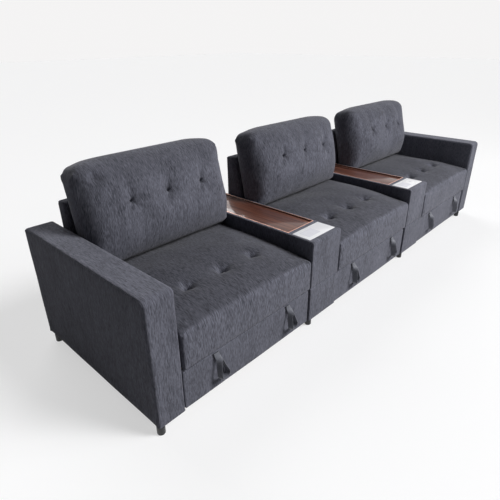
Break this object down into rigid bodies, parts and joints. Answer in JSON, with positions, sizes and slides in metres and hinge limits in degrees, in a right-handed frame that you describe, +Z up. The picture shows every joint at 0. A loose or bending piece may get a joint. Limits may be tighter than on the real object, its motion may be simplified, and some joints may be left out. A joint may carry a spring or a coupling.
{
  "type": "sofa with consoles",
  "caption": "Long upholstered sofa with a tray console between each two seats, loose back cushions, lift-up tray lids and pull-out bed units under the seats.",
  "frame": {"origin": "on the floor, under the middle of the sofa's outer box", "axes": "+X to the sofa's right as seen from in front of it, +Y from the front to the rear, +Z up"},
  "size_m": [3.1986, 0.9648, 0.8875],
  "materials": {
    "upholstery": "woven chenille",
    "webbing": "woven webbing",
    "ticking": "woven ticking",
    "timber": "sawn, unfinished",
    "walnut": "gloss lacquer",
    "copper_trim": "polished, rose copper colour",
    "white_panel": "gloss",
    "black_plastic": "satin",
    "hinge_steel": "zinc plated"
  },
  "bodies": {
    "root": {"left_arm": "upholstery", "right_arm": "upholstery", "left_seat_frame": "timber", "left_seat_deck": "timber", "left_back_frame": "upholstery", "left_seat_cushion": "upholstery", "centre_seat_frame": "timber", "centre_seat_deck": "timber", "centre_back_frame": "upholstery", "centre_seat_cushion": "upholstery", "right_seat_frame": "timber", "right_seat_deck": "timber", "right_back_frame": "upholstery", "right_seat_cushion": "upholstery", "left_console_base": "upholstery", "left_console_box": "upholstery", "left_console_charging_plate": "white_panel", "left_console_hinge_fixed_leaf": "hinge_steel", "right_console_base": "upholstery", "right_console_box": "upholstery", "right_console_charging_plate": "white_panel", "right_console_hinge_fixed_leaf": "hinge_steel", "left_arm_front_foot": "black_plastic", "left_arm_rear_foot": "black_plastic", "left_console_front_foot": "black_plastic", "left_console_rear_foot": "black_plastic", "right_console_front_foot": "black_plastic", "right_console_rear_foot": "black_plastic", "right_arm_front_foot": "black_plastic", "right_arm_rear_foot": "black_plastic"},
    "left_back_cushion": {"left_back_cushion": "upholstery"},
    "left_pull_out": {"left_pull_out_panel": "upholstery", "left_pull_out_frame": "timber", "left_pull_out_pad": "ticking", "left_pull_strap_1": "webbing", "left_pull_strap_2": "webbing"},
    "left_wheel_1": {"left_wheel_1": "black_plastic"},
    "left_wheel_2": {"left_wheel_2": "black_plastic"},
    "centre_back_cushion": {"centre_back_cushion": "upholstery"},
    "centre_pull_out": {"centre_pull_out_panel": "upholstery", "centre_pull_out_frame": "timber", "centre_pull_out_pad": "ticking", "centre_pull_strap_1": "webbing", "centre_pull_strap_2": "webbing"},
    "centre_wheel_1": {"centre_wheel_1": "black_plastic"},
    "centre_wheel_2": {"centre_wheel_2": "black_plastic"},
    "right_back_cushion": {"right_back_cushion": "upholstery"},
    "right_pull_out": {"right_pull_out_panel": "upholstery", "right_pull_out_frame": "timber", "right_pull_out_pad": "ticking", "right_pull_strap_1": "webbing", "right_pull_strap_2": "webbing"},
    "right_wheel_1": {"right_wheel_1": "black_plastic"},
    "right_wheel_2": {"right_wheel_2": "black_plastic"},
    "left_lid": {"left_console_lid": "walnut", "left_console_lid_rim": "copper_trim", "left_console_hinge_lid_leaf": "hinge_steel"},
    "right_lid": {"right_console_lid": "walnut", "right_console_lid_rim": "copper_trim", "right_console_hinge_lid_leaf": "hinge_steel"}
  },
  "joints": [
    {"name": "left_back_cushion_lift", "type": "slide", "parent": "root", "child": "left_back_cushion", "axis": [0, 0.2317, 0.9728], "range_m": [0, 0.32]},
    {"name": "left_pull_out_slide", "type": "slide", "parent": "root", "child": "left_pull_out", "axis": [0, -1, 0], "range_m": [0, 0.56]},
    {"name": "left_wheel_roll_1", "type": "hinge", "parent": "left_pull_out", "child": "left_wheel_1", "pos_m": [-1.36135, -0.37825, 0.024], "axis": [1, 0, 0], "continuous": true},
    {"name": "left_wheel_roll_2", "type": "hinge", "parent": "left_pull_out", "child": "left_wheel_2", "pos_m": [-0.75265, -0.37825, 0.024], "axis": [1, 0, 0], "continuous": true},
    {"name": "centre_back_cushion_lift", "type": "slide", "parent": "root", "child": "centre_back_cushion", "axis": [0, 0.2317, 0.9728], "range_m": [0, 0.32]},
    {"name": "centre_pull_out_slide", "type": "slide", "parent": "root", "child": "centre_pull_out", "axis": [0, -1, 0], "range_m": [0, 0.56]},
    {"name": "centre_wheel_roll_1", "type": "hinge", "parent": "centre_pull_out", "child": "centre_wheel_1", "pos_m": [-0.30435, -0.37825, 0.024], "axis": [1, 0, 0], "continuous": true},
    {"name": "centre_wheel_roll_2", "type": "hinge", "parent": "centre_pull_out", "child": "centre_wheel_2", "pos_m": [0.30435, -0.37825, 0.024], "axis": [1, 0, 0], "continuous": true},
    {"name": "right_back_cushion_lift", "type": "slide", "parent": "root", "child": "right_back_cushion", "axis": [0, 0.2317, 0.9728], "range_m": [0, 0.32]},
    {"name": "right_pull_out_slide", "type": "slide", "parent": "root", "child": "right_pull_out", "axis": [0, -1, 0], "range_m": [0, 0.56]},
    {"name": "right_wheel_roll_1", "type": "hinge", "parent": "right_pull_out", "child": "right_wheel_1", "pos_m": [0.75265, -0.37825, 0.024], "axis": [1, 0, 0], "continuous": true},
    {"name": "right_wheel_roll_2", "type": "hinge", "parent": "right_pull_out", "child": "right_wheel_2", "pos_m": [1.36135, -0.37825, 0.024], "axis": [1, 0, 0], "continuous": true},
    {"name": "left_lid_hinge", "type": "hinge", "parent": "root", "child": "left_lid", "pos_m": [-0.5285, 0.44185, 0.496], "axis": [-1, 0, 0], "range_deg": [0, 95]},
    {"name": "right_lid_hinge", "type": "hinge", "parent": "root", "child": "right_lid", "pos_m": [0.5285, 0.44185, 0.496], "axis": [-1, 0, 0], "range_deg": [0, 95]}
  ],
  "couplings": [
    {"joint": "left_wheel_roll_1", "follows": "left_pull_out_slide", "rad_per_m": 41.667},
    {"joint": "left_wheel_roll_2", "follows": "left_pull_out_slide", "rad_per_m": 41.667},
    {"joint": "centre_wheel_roll_1", "follows": "centre_pull_out_slide", "rad_per_m": 41.667},
    {"joint": "centre_wheel_roll_2", "follows": "centre_pull_out_slide", "rad_per_m": 41.667},
    {"joint": "right_wheel_roll_1", "follows": "right_pull_out_slide", "rad_per_m": 41.667},
    {"joint": "right_wheel_roll_2", "follows": "right_pull_out_slide", "rad_per_m": 41.667}
  ]
}
